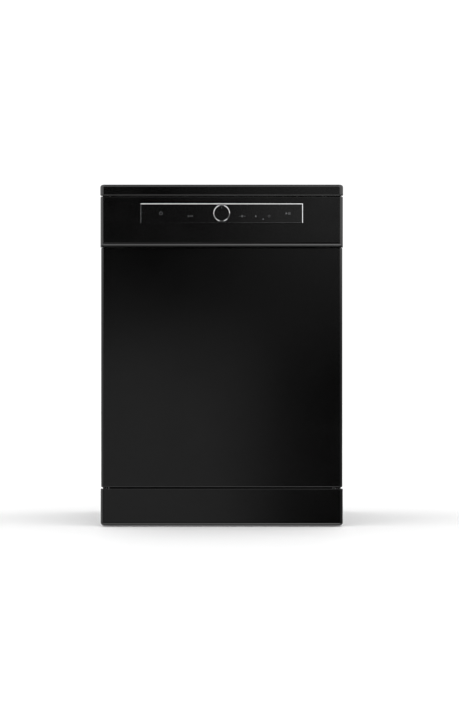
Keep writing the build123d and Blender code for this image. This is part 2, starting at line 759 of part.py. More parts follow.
# ---- Control fascia: a moulding with a rolled lower lip and a finger channel behind it ------
fascia_wall = 3
channel_back_y = -256
channel_top_z = 724
fascia_back_y = -233.5
strip_half = panel_strip_width / 2
strip_low_z = panel_strip_z - panel_strip_height / 2
strip_high_z = panel_strip_z + panel_strip_height / 2
with BuildPart() as control_fascia:
    block((-fascia_half, fascia_y, fascia_bottom_z), (fascia_half, fascia_back_y, fascia_top_z))
    fillet(control_fascia.edges().filter_by(Axis.Z).group_by(Axis.Y)[0], 10)
    fillet(edges_ahead(control_fascia.faces().sort_by(Axis.Z)[-1], fascia_back_y - 1), 1.5)
    with BuildSketch(across(-fascia_half)):
        with BuildLine():
            Polyline(
                (fascia_y - 1, fascia_bottom_z + 12),
                (fascia_y - 1, fascia_bottom_z - 1),
                (fascia_y + 12, fascia_bottom_z - 1),
                (fascia_y + 12, fascia_bottom_z),
            )
            RadiusArc((fascia_y + 12, fascia_bottom_z), (fascia_y, fascia_bottom_z + 12), 12)
            Line((fascia_y, fascia_bottom_z + 12), (fascia_y - 1, fascia_bottom_z + 12))
        make_face()
    extrude(amount=2 * fascia_half, mode=Mode.SUBTRACT)
    with BuildSketch(across(-fascia_half + 8)):
        with BuildLine():
            FilletPolyline(
                (door_panel_y, fascia_bottom_z - 1),
                (fascia_y + 6, fascia_bottom_z - 1),
                (fascia_y + 6, fascia_bottom_z + 4.6),
                (fascia_y + fascia_wall, fascia_bottom_z + 11),
                (fascia_y + fascia_wall, channel_top_z),
                (channel_back_y, channel_top_z),
                (channel_back_y, fascia_bottom_z + 6),
                (door_panel_y + 2, fascia_bottom_z + 1),
                radius=1.5,
            )
            Line((door_panel_y + 2, fascia_bottom_z + 1), (door_panel_y, fascia_bottom_z - 1))
        make_face()
    extrude(amount=2 * (fascia_half - 8), mode=Mode.SUBTRACT)
    block(
        (-fascia_half + fascia_wall, fascia_y + fascia_wall + 2.2, channel_top_z + fascia_wall),
        (fascia_half - fascia_wall, fascia_back_y + 1, fascia_top_z - fascia_wall),
        mode=Mode.SUBTRACT,
    )
    block(
        (-fascia_half + fascia_wall, channel_back_y + fascia_wall, fascia_bottom_z + 9),
        (fascia_half - fascia_wall, fascia_back_y + 1, channel_top_z + 6),
        mode=Mode.SUBTRACT,
    )
    block(
        (-strip_half, fascia_y - 1, strip_low_z),
        (strip_half, fascia_y + 2, strip_high_z),
        mode=Mode.SUBTRACT,
    )
    with BuildSketch(facing_front(fascia_y - 1)):
        for x, width, height in keys.values():
            with Locations((x, panel_strip_z)):
                Rectangle(width - 2 * key_flange + 1, height - 2 * key_flange + 1)
        with Locations((0, panel_strip_z)):
            Circle(knob_shaft_radius + 0.2)
    extrude(amount=-12, mode=Mode.SUBTRACT)
save(control_fascia.part, "control_fascia")

# ---- Bright frame round the control strip --------------------------------------------------
with BuildPart() as strip_bezel:
    with BuildSketch(facing_front(fascia_y + 2)):
        with Locations((0, panel_strip_z)):
            Rectangle(panel_strip_width, panel_strip_height)
    extrude(amount=3.4)
    chamfer(strip_bezel.faces().sort_by(Axis.Y)[0].edges(), length=0.4, length2=1.5)
    with BuildSketch(facing_front(fascia_y + 3)):
        with Locations((0, panel_strip_z)):
            Rectangle(panel_strip_width - 2 * bezel_width, panel_strip_height - 2 * bezel_width)
    extrude(amount=6, mode=Mode.SUBTRACT)
save(strip_bezel.part, "strip_bezel")

# ---- Dark strip, with an opening for each key and the knob's shaft --------------------------
key_corner = 2
with BuildPart() as control_window:
    with BuildSketch(facing_front(window_y + window_thickness)):
        with Locations((0, panel_strip_z)):
            Rectangle(panel_strip_width - 2 * bezel_width, panel_strip_height - 2 * bezel_width)
        for x, width, height in keys.values():
            with Locations((x, panel_strip_z)):
                RectangleRounded(width, height, key_corner, mode=Mode.SUBTRACT)
        with Locations((0, panel_strip_z)):
            Circle(knob_shaft_radius + 0.2, mode=Mode.SUBTRACT)
    extrude(amount=window_thickness)
save(control_window.part, "control_window")

# ---- Keys: flush caps, each on a short plunger ----------------------------------------------
for name, (x, width, height) in keys.items():
    with BuildPart() as key:
        with BuildSketch(facing_front(window_y)):
            with Locations((x, panel_strip_z)):
                RectangleRounded(width - 2 * key_gap, height - 2 * key_gap, key_corner - key_gap)
        extrude(amount=-key_cap)
        with BuildSketch(facing_front(window_y + key_cap)):
            with Locations((x, panel_strip_z)):
                Rectangle(width - 2 * key_flange, height - 2 * key_flange)
        extrude(amount=-8)
    save(key.part, name)

# ---- Programme knob and its bright ring -----------------------------------------------------
ring_inner_radius = 18.1
knob_back_y = window_y - 0.3
with BuildPart() as programme_knob:
    with BuildSketch(facing_front(knob_back_y)):
        with Locations((0, panel_strip_z)):
            Circle(ring_inner_radius)
    extrude(amount=knob_back_y - front_y - 0.8)
    fillet(programme_knob.edges().group_by(Axis.Y)[0], 0.6)
    with BuildSketch(facing_front(knob_back_y)):
        with Locations((0, panel_strip_z)):
            Circle(knob_shaft_radius)
    extrude(amount=-18)
save(programme_knob.part, "programme_knob")

with BuildPart() as knob_ring:
    with BuildSketch(facing_front(knob_back_y)):
        with Locations((0, panel_strip_z)):
            Circle(knob_radius)
            Circle(ring_inner_radius, mode=Mode.SUBTRACT)
    extrude(amount=knob_back_y - front_y)
    chamfer(round_edges(knob_ring, knob_radius).sort_by(Axis.Y)[0], 1.4)
save(knob_ring.part, "knob_ring")

# ---- Control board behind the keys ----------------------------------------------------------
with BuildPart() as control_board:
    block((-190, -272, 750), (190, -270.4, 797))
    for x, _, _ in keys.values():
        block((x - 3, -278.2, panel_strip_z - 3), (x + 3, -272, panel_strip_z + 3))
    with BuildSketch(facing_front(-272)):
        with Locations((0, panel_strip_z)):
            Rectangle(14, 14)
            Circle(knob_shaft_radius + 0.2, mode=Mode.SUBTRACT)
    extrude(amount=6)
    block((-120, -270.4, 755), (-90, -258, 790))
    block((20, -270.4, 755), (70, -252, 790))
save(control_board.part, "control_board")

# ---- Hinge brackets, fixed to the base, with the pins the door turns on ---------------------
# Each is cut away below its neck, where the lower edge of the open door comes up behind the pin.
bracket_x = 279
bracket_sheet = 4
with BuildPart() as hinge_brackets:
    for sign in (-1, 1):
        with BuildSketch(across(sign * bracket_x)):
            with BuildLine():
                Polyline(
                    (hinge_y + 2, hinge_z + 10),
                    (hinge_y - 8, hinge_z + 6),
                    (hinge_y - 8, hinge_z - 5),
                    (hinge_y - 5, hinge_z - 8),
                    (hinge_y + 18, hinge_z - 8),
                    (hinge_y + 18, hinge_z - 1),
                    (hinge_y + 32, hinge_z - 1),
                    (-214, 96),
                    (-214, 60),
                    (-140, 60),
                    (-140, hinge_z - 2),
                    (-214, hinge_z + 10),
                    close=True,
                )
            make_face()
        extrude(amount=sign * bracket_sheet)
        with BuildSketch(across(sign * bracket_x)):
            with Locations((hinge_y, hinge_z)):
                Circle(hinge_pin_radius)
        extrude(amount=sign * (bracket_sheet + 9))
save(group(hinge_brackets.part), "hinge_brackets")

# ---- Hinge arms: they turn on the pins and run up inside the door ---------------------------
arm_x = bracket_x + bracket_sheet + 1
arm_sheet = 4
with BuildPart() as hinge_arms:
    for sign in (-1, 1):
        with BuildSketch(across(sign * arm_x)):
            with BuildLine():
                Polyline(
                    (hinge_y - 9, hinge_z - 9),
                    (hinge_y + 10, hinge_z - 9),
                    (hinge_y + 24, hinge_z - 6),
                    (hinge_y + 24, hinge_z + 6),
                    (hinge_y + 12, hinge_z + 12),
                    (hinge_y + 12, 330),
                    (hinge_y - 4, 330),
                    (hinge_y - 9, hinge_z + 20),
                    close=True,
                )
            make_face()
            with Locations((hinge_y, hinge_z)):
                Circle(hinge_pin_radius + running_gap, mode=Mode.SUBTRACT)
        extrude(amount=sign * arm_sheet)
save(group(hinge_arms.part), "hinge_arms")

# ---- Balance springs: close-wound coils from each hinge to the back of the base -------------
spring_radius = 7
spring_wire = 1.5
spring_pitch = 6.0
spring_start_y = -190
spring_turns = 14
spring_z = 150
springs = []
for sign in (-1, 1):
    with BuildPart() as spring:
        spring_origin = Plane(
            origin=(sign * 284.5, spring_start_y, spring_z), x_dir=(1, 0, 0), z_dir=(0, 1, 0)
        )
        with BuildLine(spring_origin) as coil:
            Helix(pitch=spring_pitch, height=spring_pitch * spring_turns, radius=spring_radius)
        with BuildSketch(Plane(coil.line @ 0, z_dir=coil.line % 0)):
            Circle(spring_wire)
        sweep(is_frenet=True)
    springs.append(spring.part)
save(group(*springs), "hinge_springs")

# ---- Detergent dispenser in the inner panel -------------------------------------------------
dispenser_front_y = -252  # inside the door
dispenser_face_y = -222
cup_low = (-80, 425)
cup_high = (-10, 495)
rinse_place = (50, 476)
rinse_radius = 17
with BuildPart() as dispenser_body:
    with BuildSketch(facing_front(dispenser_front_y)):
        with Locations(tuple(dispenser_middle)):
            RectangleRounded(dispenser_size[0] - 0.6, dispenser_size[1] - 0.6, 7.7)
    extrude(amount=-(dispenser_face_y - dispenser_front_y))
    fillet(dispenser_body.faces().sort_by(Axis.Y)[-1].edges(), 1.5)
    block(
        (cup_low[0], dispenser_front_y + 4, cup_low[1]),
        (cup_high[0], dispenser_face_y + 1, cup_high[1]),
        mode=Mode.SUBTRACT,
    )
    with BuildSketch(facing_front(dispenser_front_y + 14)):
        with Locations(rinse_place):
            Circle(rinse_radius + 0.4)
    extrude(amount=-40, mode=Mode.SUBTRACT)
save(dispenser_body.part, "dispenser_body")

with BuildPart() as dispenser_lid:
    with BuildSketch(facing_front(dispenser_face_y + 0.1)):
        with Locations(((cup_low[0] + cup_high[0]) / 2, (cup_low[1] + cup_high[1]) / 2)):
            RectangleRounded(cup_high[0] - cup_low[0] + 6, cup_high[1] - cup_low[1] + 8, 5)
    extrude(amount=-2.4)
    fillet(dispenser_lid.faces().sort_by(Axis.Y)[-1].edges(), 0.8)
save(dispenser_lid.part, "dispenser_lid")

with BuildPart() as rinse_cap:
    with BuildSketch(facing_front(dispenser_front_y + 14.2)):
        with Locations(rinse_place):
            Circle(rinse_radius)
    extrude(amount=-9)
    with BuildSketch(facing_front(dispenser_front_y + 23.2)):
        with Locations(rinse_place):
            RectangleRounded(26, 6, 2)
    extrude(amount=-6)
save(rinse_cap.part, "rinse_cap")

# ---- Screws that hold the inner panel to the door -------------------------------------------
with BuildPart() as door_screws:
    for sign in (-1, 1):
        for z in (240, 400, 560, 700):
            with BuildSketch(facing_front(door_inner_y)):
                with Locations((sign * (inner_half - 5), z)):
                    Circle(3.4)
            extrude(amount=-0.9)
save(group(door_screws.part), "door_screws")

# ==== RACKS ===============================================================================


def rack_wires(half, base_z, top_z, loop_zs, cross_count, long_count):
    """The welded basket of one rack: U-bent wires both ways, and the loops that go round them."""
    wires = []
    bend = 14
    step = (rack_back_y - rack_front_y - 30) / (cross_count - 1)
    for k in range(cross_count):
        y = rack_front_y + 15 + k * step
        points = [(-half, y, top_z), (-half, y, base_z), (half, y, base_z), (half, y, top_z)]
        wires.append(bent_wire(points, bend, wire_radius))
    long_z = base_z + 2 * wire_radius + weld_gap
    step = 2 * (half - 32) / (long_count - 1)
    for k in range(long_count):
        x = -half + 32 + k * step
        front, back = rack_front_y, rack_back_y
        points = [(x, front, top_z), (x, front, long_z), (x, back, long_z), (x, back, top_z)]
        wires.append(bent_wire(points, bend, wire_radius))
    out = 2 * wire_radius + weld_gap
    middle_y = (rack_front_y + rack_back_y) / 2
    for z in loop_zs:
        for end_y in (rack_front_y - out, rack_back_y + out):
            points = [(-half - out, middle_y, z), (-half - out, end_y, z), (half + out, end_y, z)]
            wires.append(bent_wire([*points, (half + out, middle_y, z)], 18, wire_radius))
    return wires


# ---- Lower rack: basket, fixed tines, and a stub axle with a hanger for each wheel ----------
tine_pitch = 38
tine_count = 10
tine_first_y = -168
tine_height = 74
tine_radius = 1.9
tine_base_z = lower_rack_z + 3 * wire_radius + 2 * weld_gap
fixed_tine_xs = (-200, -142.86)
axle_radius = 4
with BuildPart() as lower_rack_fittings:
    for sign in (-1, 1):
        for y in wheel_ys:
            with BuildSketch(across(sign * (lower_rack_half - 3))):
                with Locations((y, track_z + wheel_radius)):
                    Circle(axle_radius)
            extrude(amount=sign * 30)
            low_x, high_x = sorted((sign * (lower_rack_half - 3), sign * (lower_rack_half + 3)))
            block((low_x, y - 6, track_z + wheel_radius - 6), (high_x, y + 6, lower_rack_z - 2.3))
lower_tines = []
for x in fixed_tine_xs:
    for k in range(tine_count):
        y = tine_first_y + k * tine_pitch
        lower_tines.append(straight_rod((x, y, tine_base_z), (x, y, tine_base_z + tine_height), tine_radius))
lower_wires = rack_wires(
    lower_rack_half, lower_rack_z, lower_rack_top_z, (lower_rack_top_z - 4, 244), cross_count=9, long_count=8
)
save(group(*lower_wires, *lower_tines, lower_rack_fittings.part), "lower_rack")

# ---- Folding row of tines on a pivot rod -----------------------------------------------------
fold_x = -34
fold_z = tine_base_z + 3.2
fold_pieces = [straight_rod((fold_x, -182, fold_z), (fold_x, 196, fold_z), 2.2)]
for k in range(tine_count - 1):
    y = tine_first_y + (k + 0.5) * tine_pitch
    fold_pieces.append(straight_rod((fold_x, y, fold_z), (fold_x, y, fold_z + 70), tine_radius))
with BuildPart() as folding_tines:
    for piece in fold_pieces:
        add(piece)
save(folding_tines.part, "folding_tines")

# ---- Wheels ----------------------------------------------------------------------------------
for side_name, sign in (("left", -1), ("right", 1)):
    for end_name, y in zip(("front", "rear"), wheel_ys):
        with BuildPart() as wheel:
            with BuildSketch(across(sign * (wheel_x - wheel_width / 2))):
                with Locations((y, track_z + wheel_radius)):
                    Circle(wheel_radius)
                    Circle(axle_radius + running_gap, mode=Mode.SUBTRACT)
            extrude(amount=sign * wheel_width)
            fillet(round_edges(wheel, wheel_radius), 2)
            with BuildSketch(across(sign * (wheel_x + wheel_width / 2))):
                with Locations((y, track_z + wheel_radius)):
                    Circle(13)
                    Circle(7, mode=Mode.SUBTRACT)
            extrude(amount=-sign * 3, mode=Mode.SUBTRACT)
        save(wheel.part, f"rack_wheel_{end_name}_{side_name}")

# ---- Cutlery basket: slotted walls, three compartments and a handle --------------------------
basket_low = (80, -184)
basket_high = (216, 60)
basket_bottom_z = tine_base_z + 1
basket_height = 116
basket_wall = 2.4
with BuildPart() as cutlery_basket:
    low = (*basket_low, basket_bottom_z)
    high = (*basket_high, basket_bottom_z + basket_height)
    block(low, high)
    fillet(cutlery_basket.edges().filter_by(Axis.Z), 10)
    middle_x = (basket_low[0] + basket_high[0]) / 2
    middle_y = (basket_low[1] + basket_high[1]) / 2
    size_x = basket_high[0] - basket_low[0]
    size_y = basket_high[1] - basket_low[1]
    cell_y = (size_y - 4 * basket_wall) / 3
    with BuildSketch(Plane.XY.offset(basket_bottom_z + basket_wall)):
        with Locations((middle_x, middle_y)):
            with GridLocations(0, cell_y + basket_wall, 1, 3):
                RectangleRounded(size_x - 2 * basket_wall, cell_y, 6)
    extrude(amount=basket_height, mode=Mode.SUBTRACT)
    with BuildSketch(across(basket_low[0] - 1)):
        with Locations((middle_y, basket_bottom_z + basket_height / 2)):
            with GridLocations(18, 32, 12, 3):
                SlotOverall(24, 8, rotation=90)
    extrude(amount=size_x + 2, mode=Mode.SUBTRACT)
    with BuildSketch(facing_front(basket_high[1] + 1)):
        with Locations((middle_x, basket_bottom_z + basket_height / 2)):
            with GridLocations(18, 32, 6, 3):
                SlotOverall(24, 8, rotation=90)
    extrude(amount=size_y + 2, mode=Mode.SUBTRACT)
    handle_z = basket_bottom_z + basket_height
    with BuildLine() as handle_path:
        FilletPolyline(
            (middle_x, middle_y - cell_y / 2 - 1.2, handle_z - 20),
            (middle_x, middle_y - cell_y / 2 - 1.2, handle_z + 34),
            (middle_x, middle_y + cell_y / 2 + 1.2, handle_z + 34),
            (middle_x, middle_y + cell_y / 2 + 1.2, handle_z - 20),
            radius=16,
        )
    with BuildSketch(Plane(handle_path.line @ 0, z_dir=handle_path.line % 0)):
        RectangleRounded(14, 5, 2)
    sweep()
save(cutlery_basket.part, "cutlery_basket")

# ---- Upper rack -------------------------------------------------------------------------------
upper_wires = rack_wires(
    upper_rack_half, upper_rack_z, upper_rack_top_z, (upper_rack_top_z - 4, 548), cross_count=9, long_count=8
)
upper_tine_base = upper_rack_z + 3 * wire_radius + 2 * weld_gap
upper_tines = []
for x in (-200, 200):
    for k in range(tine_count):
        y = tine_first_y + k * tine_pitch
        upper_tines.append(straight_rod((x, y, upper_tine_base), (x, y, upper_tine_base + 52), tine_radius))
with BuildPart() as upper_rack_adjusters:
    for sign in (-1, 1):
        low_x, high_x = sorted((sign * (upper_rack_half + 7), sign * (upper_rack_half + 9.5)))
        for y in (-120, 120):
            block((low_x, y - 30, 540), (high_x, y + 30, upper_rack_top_z))
save(group(*upper_wires, *upper_tines, upper_rack_adjusters.part), "upper_rack")

# ---- Feed tube under the upper rack, with the hub its spray arm turns on ----------------------
upper_hub_y = 0
upper_arm_z = 441
with BuildPart() as upper_arm_feed:
    with BuildSketch(facing_front(rack_back_y + 12)):
        with Locations((0, upper_port_z)):
            Circle(7.5)
    extrude(amount=rack_back_y + 12 - upper_hub_y)
    with Locations((0, upper_hub_y, upper_arm_z + 8)):
        Cylinder(16, 26.5, align=(Align.CENTER, Align.CENTER, Align.MIN))
    with Locations((0, upper_hub_y, upper_arm_z - 9)):
        Cylinder(arm_post_radius, 18, align=(Align.CENTER, Align.CENTER, Align.MIN))
    with Locations((0, upper_hub_y, upper_arm_z - 12)):
        Cylinder(13, 3.5, align=(Align.CENTER, Align.CENTER, Align.MIN))
save(upper_arm_feed.part, "upper_arm_feed")

upper_spray_arm = spray_arm(196, upper_arm_z, 14, arm_post_radius + running_gap, upper_hub_y)
save(upper_spray_arm, "upper_spray_arm")

# ---- Rails on the tub's sides, and the slides that run in them --------------------------------
rail_z = 560
rail_height = 22
rail_half_length = 215
with BuildPart() as upper_rack_rails:
    for sign in (-1, 1):
        with BuildSketch(facing_front(rail_half_length + 10)):
            with BuildLine():
                Polyline(
                    (sign * tub_half, rail_z - rail_height / 2),
                    (sign * (tub_half - 15), rail_z - rail_height / 2),
                    (sign * (tub_half - 15), rail_z - rail_height / 2 + 5),
                    (sign * (tub_half - 13), rail_z - rail_height / 2 + 5),
                    (sign * (tub_half - 13), rail_z - rail_height / 2 + 2),
                    (sign * (tub_half - 3), rail_z - rail_height / 2 + 2),
                    (sign * (tub_half - 3), rail_z + rail_height / 2 - 2),
                    (sign * (tub_half - 13), rail_z + rail_height / 2 - 2),
                    (sign * (tub_half - 13), rail_z + rail_height / 2 - 5),
                    (sign * (tub_half - 15), rail_z + rail_height / 2 - 5),
                    (sign * (tub_half - 15), rail_z + rail_height / 2),
                    (sign * tub_half, rail_z + rail_height / 2),
                    close=True,
                )
            make_face()
        extrude(amount=2 * rail_half_length)
save(group(upper_rack_rails.part), "upper_rack_rails")

with BuildPart() as upper_rack_slides:
    for sign in (-1, 1):
        low_x, high_x = sorted((sign * (tub_half - 12.5), sign * (tub_half - 5)))
        block((low_x, -204, rail_z - 8), (high_x, 222, rail_z + 8))
        low_x, high_x = sorted((sign * (tub_half - 20), sign * (tub_half - 12)))
        block((low_x, -200, rail_z - 5), (high_x, 218, rail_z + 5))
        low_x, high_x = sorted((sign * (tub_half - 30), sign * (tub_half - 20)))
        for y in (-120, 120):
            block((low_x, y - 28, rail_z - 9), (high_x, y + 28, rail_z + 32))
save(group(upper_rack_slides.part), "upper_rack_slides")
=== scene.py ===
"""The dishwasher's looks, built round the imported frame: camera, studio, materials and small details."""

import json
import math

import bmesh
import bpy
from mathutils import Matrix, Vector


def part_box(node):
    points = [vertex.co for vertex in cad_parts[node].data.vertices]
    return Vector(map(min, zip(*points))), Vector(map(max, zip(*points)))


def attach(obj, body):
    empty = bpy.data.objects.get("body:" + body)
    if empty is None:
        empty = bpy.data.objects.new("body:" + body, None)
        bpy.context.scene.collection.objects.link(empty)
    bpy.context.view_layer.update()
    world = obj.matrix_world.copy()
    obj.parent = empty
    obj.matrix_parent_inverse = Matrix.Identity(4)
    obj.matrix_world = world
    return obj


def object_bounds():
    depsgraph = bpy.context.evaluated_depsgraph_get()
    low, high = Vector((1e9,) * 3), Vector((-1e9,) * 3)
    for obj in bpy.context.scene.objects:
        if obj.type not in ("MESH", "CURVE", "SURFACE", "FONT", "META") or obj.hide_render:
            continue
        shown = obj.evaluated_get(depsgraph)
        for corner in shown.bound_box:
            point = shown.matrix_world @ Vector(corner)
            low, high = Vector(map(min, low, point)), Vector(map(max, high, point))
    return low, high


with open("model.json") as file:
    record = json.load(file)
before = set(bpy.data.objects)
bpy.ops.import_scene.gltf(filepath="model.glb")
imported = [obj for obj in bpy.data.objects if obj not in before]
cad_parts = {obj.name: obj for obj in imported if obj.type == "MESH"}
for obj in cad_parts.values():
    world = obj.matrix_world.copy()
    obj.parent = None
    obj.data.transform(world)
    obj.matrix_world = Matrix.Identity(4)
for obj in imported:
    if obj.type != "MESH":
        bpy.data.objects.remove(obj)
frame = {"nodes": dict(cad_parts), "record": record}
nodes = frame["nodes"]
cad_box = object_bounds()
scene = bpy.context.scene
MM = 0.001

# ---- Camera: square on, far enough away that no side shows --------------------------------
VIEW_HEIGHT = 1.74168  # metres that the picture takes in from bottom to top
CAMERA_DISTANCE = 5.5
CAMERA_X = 0.0192
CAMERA_Z = 0.427
SENSOR = 36.0
front_y = cad_box[0].y
camera_data = bpy.data.cameras.new("camera")
camera = bpy.data.objects.new("camera", camera_data)
scene.collection.objects.link(camera)
scene.camera = camera
camera_data.sensor_width = SENSOR
camera_data.lens = SENSOR * CAMERA_DISTANCE / VIEW_HEIGHT
camera_data.clip_end = 60
camera.location = (CAMERA_X, front_y - CAMERA_DISTANCE, CAMERA_Z)
camera.rotation_euler = (math.radians(90), 0, 0)
scene.view_settings.view_transform = "Standard"


# ---- Material helpers -----------------------------------------------------------------------
class Look:
    """One procedural material: a Principled shader and the nodes that feed it."""

    def __init__(self, name, **sockets):
        self.material = bpy.data.materials.new(name)
        self.material.use_nodes = True
        self.tree = self.material.node_tree
        self.shader = self.tree.nodes["Principled BSDF"]
        for socket, value in sockets.items():
            self.set(socket.replace("_", " "), value)
        self.coordinates = self.node("ShaderNodeTexCoord").outputs["Object"]

    def node(self, kind, **settings):
        made = self.tree.nodes.new(kind)
        for key, value in settings.items():
            setattr(made, key, value)
        return made

    def set(self, socket, value):
        self.shader.inputs[socket].default_value = (*value, 1) if isinstance(value, tuple) else value

    def link(self, source, target):
        self.tree.links.new(source, target)
        return self

    def stretched(self, scale):
        """Object coordinates scaled differently along X, Y and Z, for brushed or drawn surfaces."""
        mapping = self.node("ShaderNodeMapping")
        mapping.inputs["Scale"].default_value = scale
        self.link(self.coordinates, mapping.inputs["Vector"])
        return mapping.outputs["Vector"]

    def noise(self, scale, detail=3.0, roughness=0.55, vector=None):
        made = self.node("ShaderNodeTexNoise")
        made.inputs["Scale"].default_value = scale
        made.inputs["Detail"].default_value = detail
        made.inputs["Roughness"].default_value = roughness
        self.link(vector or self.coordinates, made.inputs["Vector"])
        return made.outputs["Fac"]

    def cells(self, scale, feature="F1", vector=None):
        made = self.node("ShaderNodeTexVoronoi", feature=feature)
        made.inputs["Scale"].default_value = scale
        self.link(vector or self.coordinates, made.inputs["Vector"])
        return made.outputs["Distance"]

    def span(self, source, low, high, from_low=0.3, from_high=0.7):
        """Maps a pattern's usual range to low..high."""
        made = self.node("ShaderNodeMapRange")
        for key, value in (
            ("From Min", from_low),
            ("From Max", from_high),
            ("To Min", low),
            ("To Max", high),
        ):
            made.inputs[key].default_value = value
        self.link(source, made.inputs["Value"])
        return made.outputs["Result"]

    def colours(self, source, stops):
        """Colour ramp through (position, (r, g, b)) stops into the base colour."""
        ramp = self.node("ShaderNodeValToRGB").color_ramp
        while len(ramp.elements) < len(stops):
            ramp.elements.new(0.5)
        for element, (position, colour) in zip(ramp.elements, stops):
            element.position = position
            element.color = (*colour, 1)
        made = self.tree.nodes[-1]
        self.link(source, made.inputs["Fac"])
        self.link(made.outputs["Color"], self.shader.inputs["Base Color"])
        return self

    def rough(self, source, low, high):
        return self.link(self.span(source, low, high), self.shader.inputs["Roughness"])

    def bump(self, source, distance, strength=1.0, under=None):
        made = self.node("ShaderNodeBump")
        made.inputs["Strength"].default_value = strength
        made.inputs["Distance"].default_value = distance
        self.link(source, made.inputs["Height"])
        if under:
            self.link(under, made.inputs["Normal"])
        self.link(made.outputs["Normal"], self.shader.inputs["Normal"])
        return made.outputs["Normal"]


def shade(grey, step=0.25):
    """Three stops of one colour: a little darker, itself and a little lighter."""
    colour = grey if isinstance(grey, tuple) else (grey, grey, grey)
    dark = tuple(c * (1 - step) for c in colour)
    light = tuple(min(1, c * (1 + step)) for c in colour)
    return [(0.25, dark), (0.5, colour), (0.75, light)]


def enamel(name, grey):
    """Baked black enamel on sheet steel: faint orange peel, a few smudges, a clear gloss over it."""
    look = Look(name, Coat_Weight=0.35, Coat_Roughness=0.06, Specular_IOR_Level=0.4)
    look.colours(look.noise(3.0, 4), shade(grey, 0.2))
    look.rough(look.noise(5.0, 5, 0.65), 0.08, 0.14)
    peel = look.bump(look.noise(420, 2), 0.00006, 0.35)
    look.bump(look.noise(3200, 1), 0.00001, 0.3, peel)
    return look.material


def moulded(name, colour, rough=(0.38, 0.5), grain=1400, depth=0.00004, **sockets):
    """Injection-moulded plastic with a fine spark-eroded grain and slow colour drift."""
    look = Look(name, **sockets)
    look.colours(look.noise(9.0, 4), shade(colour, 0.12))
    look.rough(look.noise(14.0, 4), *rough)
    grain_normal = look.bump(look.noise(grain, 3), depth, 0.6)
    look.bump(look.cells(grain * 0.6), depth * 0.5, 0.3, grain_normal)
    return look.material


def gloss(name, grey):
    """Polished dark plastic: nearly a mirror, with hairline wear and a little dust."""
    look = Look(name, Coat_Weight=0.6, Coat_Roughness=0.04)
    look.colours(look.noise(30, 3), shade(grey, 0.15))
    look.rough(look.noise(220, 6, 0.7), 0.07, 0.16)
    look.bump(look.noise(90, 2, vector=look.stretched((1, 1, 18))), 0.00001, 0.2)
    return look.material


def brushed(name, colour, stretch, rough=(0.2, 0.36), depth=0.00002):
    """Brushed stainless steel: long fine scratches along one direction."""
    look = Look(name, Metallic=1.0, Anisotropic=0.45)
    lines = look.noise(60, 6, 0.75, look.stretched(stretch))
    look.colours(lines, shade(colour, 0.08))
    look.rough(lines, *rough)
    fine = look.bump(lines, depth, 0.5)
    look.bump(look.noise(7, 3), 0.0004, 0.12, fine)
    return look.material


def galvanised(name):
    """Hot-dip galvanised sheet: crystals of slightly different greys."""
    look = Look(name, Metallic=1.0)
    crystals = look.node("ShaderNodeTexVoronoi")
    crystals.inputs["Scale"].default_value = 85
    look.link(look.coordinates, crystals.inputs["Vector"])
    facing = look.node("ShaderNodeSeparateColor")
    look.link(crystals.outputs["Color"], facing.inputs["Color"])
    look.colours(
        facing.outputs["Red"],
        [(0.0, (0.40, 0.41, 0.42)), (0.5, (0.46, 0.47, 0.48)), (1.0, (0.53, 0.54, 0.55))],
    )
    look.rough(facing.outputs["Green"], 0.36, 0.52)
    look.bump(look.noise(600, 4), 0.00003, 0.4)
    return look.material


def polished(name, colour, rough=(0.05, 0.14)):
    """Chrome or bright zinc: polished, with fine wipe marks."""
    look = Look(name, Metallic=1.0)
    look.colours(look.noise(60, 4), shade(colour, 0.05))
    look.rough(look.noise(300, 6, 0.7), *rough)
    look.bump(look.noise(500, 3, vector=look.stretched((1, 1, 0.15))), 0.000006, 0.4)
    return look.material


def rubber(name, grey):
    look = Look(name, Specular_IOR_Level=0.3, Sheen_Weight=0.08)
    look.colours(look.noise(60, 5), shade(grey, 0.3))
    look.rough(look.noise(90, 4), 0.62, 0.82)
    look.bump(look.noise(1500, 4), 0.00006, 0.5)
    return look.material


def coated_wire(name, colour):
    """Nylon-coated wire: soft sheen with slight runs in the coating."""
    look = Look(name, Coat_Weight=0.2, Coat_Roughness=0.3)
    look.colours(look.noise(25, 4), shade(colour, 0.12))
    look.rough(look.noise(120, 4), 0.34, 0.5)
    look.bump(look.noise(260, 3), 0.00012, 0.4)
    return look.material


def laminate(name, grey):
    """Black laminate: a shallow pebble grain under a satin finish."""
    look = Look(name, Coat_Weight=0.1, Coat_Roughness=0.3)
    look.colours(look.noise(6, 5), shade(grey, 0.25))
    look.rough(look.noise(30, 5), 0.32, 0.46)
    pebble = look.bump(look.cells(650, "SMOOTH_F1"), 0.00008, 0.4)
    look.bump(look.noise(2400, 3), 0.00002, 0.4, pebble)
    return look.material


def circuit_board(name):
    """Green board: darker copper tracks under the lacquer, in a square pattern."""
    look = Look(name, Coat_Weight=0.4, Coat_Roughness=0.1)
    brick = look.node("ShaderNodeTexBrick", offset=0.37)
    for key, value in (("Scale", 120.0), ("Mortar Size", 0.12), ("Brick Width", 0.9), ("Row Height", 0.22)):
        brick.inputs[key].default_value = value
    look.link(look.coordinates, brick.inputs["Vector"])
    look.colours(
        brick.outputs["Fac"],
        [(0.0, (0.01, 0.09, 0.035)), (0.5, (0.02, 0.12, 0.05)), (1.0, (0.04, 0.2, 0.08))],
    )
    look.rough(look.noise(50, 4), 0.2, 0.4)
    look.bump(brick.outputs["Fac"], 0.00005, 0.4)
    return look.material


